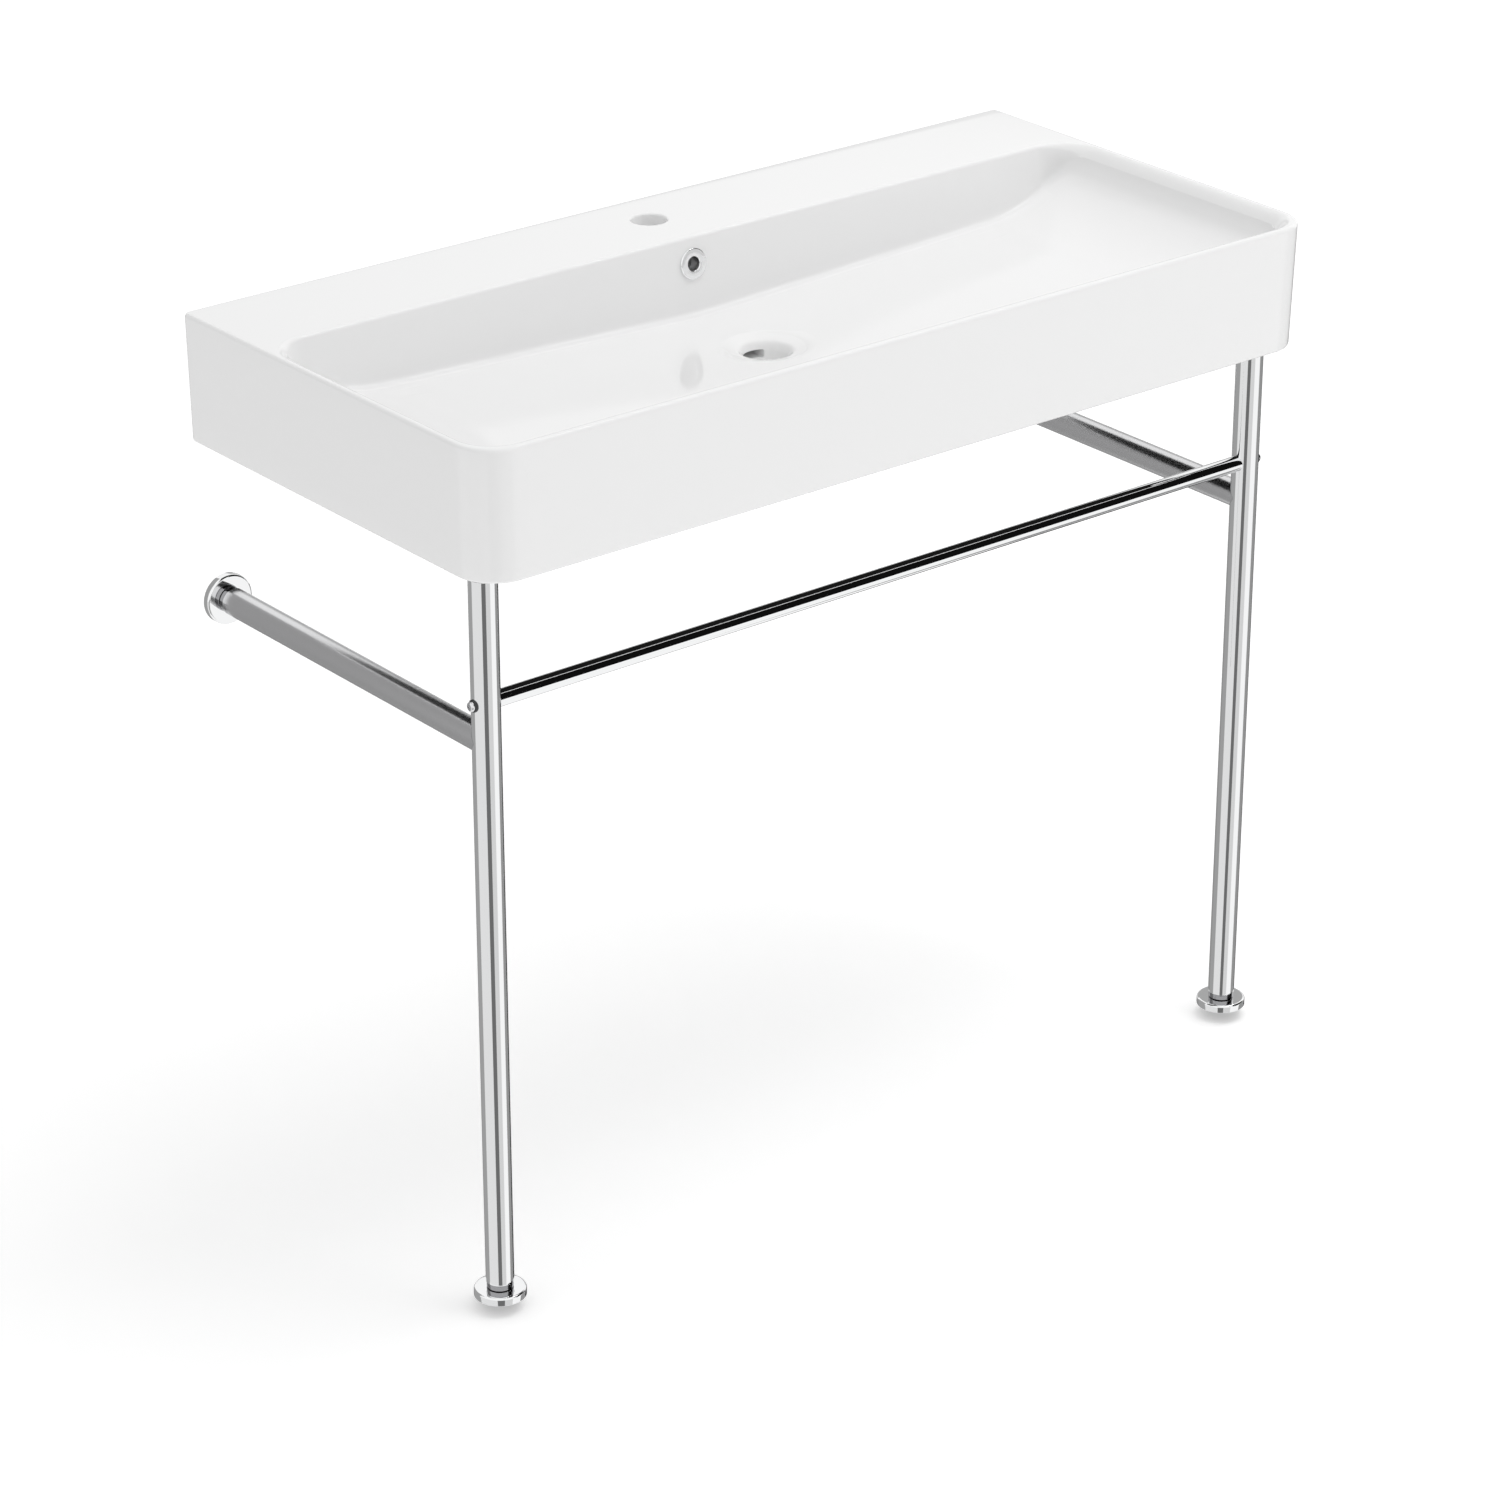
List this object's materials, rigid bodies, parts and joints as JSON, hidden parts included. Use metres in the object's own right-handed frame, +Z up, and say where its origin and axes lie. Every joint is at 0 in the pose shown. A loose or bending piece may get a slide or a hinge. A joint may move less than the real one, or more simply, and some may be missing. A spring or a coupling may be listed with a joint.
{
  "type": "console sink",
  "caption": "Wide rectangular ceramic basin with a faucet hole, hung on the wall and carried in front by chromed tube legs with side arms and a towel bar.",
  "frame": {"origin": "midway between the two wall-bolt holes, on the back face of the basin", "axes": "+X to the right seen from the front, +Y into the wall, +Z up"},
  "size_m": [0.9998, 0.4699, 0.865],
  "materials": {
    "glaze": "white gloss glaze on vitreous china",
    "chrome": "polished chrome on brass",
    "satin_chrome": "chrome on brass, softer than the legs",
    "steel": "turned, dull",
    "screw_steel": "polished stainless screw",
    "rubber": "matt black rubber",
    "dark_washer": "black moulded plastic"
  },
  "bodies": {
    "root": {"basin": "glaze", "overflow_ring": "chrome", "towel_bar": "chrome", "leg_tube_left": "chrome", "leg_slug_left": "steel", "leg_top_insert_left": "steel", "support_peg_left": "steel", "support_cushion_left": "rubber", "leg_bottom_insert_left": "steel", "side_arm_left": "satin_chrome", "arm_front_plug_left": "steel", "arm_stud_left": "steel", "arm_rear_insert_left": "steel", "bar_plug_left": "steel", "bar_screw_left": "screw_steel", "screw_washer_left": "dark_washer", "leg_tube_right": "chrome", "leg_slug_right": "steel", "leg_top_insert_right": "steel", "support_peg_right": "steel", "support_cushion_right": "rubber", "leg_bottom_insert_right": "steel", "side_arm_right": "satin_chrome", "arm_front_plug_right": "steel", "arm_stud_right": "steel", "arm_rear_insert_right": "steel", "bar_plug_right": "steel", "bar_screw_right": "screw_steel", "screw_washer_right": "dark_washer"},
    "left_foot": {"foot_disc_left": "chrome", "foot_stud_left": "steel", "foot_pad_left": "rubber"},
    "left_flange": {"wall_flange_left": "chrome", "flange_stud_left": "steel", "flange_pad_left": "rubber"},
    "right_foot": {"foot_disc_right": "chrome", "foot_stud_right": "steel", "foot_pad_right": "rubber"},
    "right_flange": {"wall_flange_right": "chrome", "flange_stud_right": "steel", "flange_pad_right": "rubber"}
  },
  "joints": [
    {"name": "left_foot_height", "type": "slide", "parent": "root", "child": "left_foot", "axis": [0, 0, -1], "range_m": [0, 0.012]},
    {"name": "left_flange_reach", "type": "slide", "parent": "root", "child": "left_flange", "axis": [0, 1, 0], "range_m": [0, 0.01]},
    {"name": "right_foot_height", "type": "slide", "parent": "root", "child": "right_foot", "axis": [0, 0, -1], "range_m": [0, 0.012]},
    {"name": "right_flange_reach", "type": "slide", "parent": "root", "child": "right_flange", "axis": [0, 1, 0], "range_m": [0, 0.01]}
  ]
}
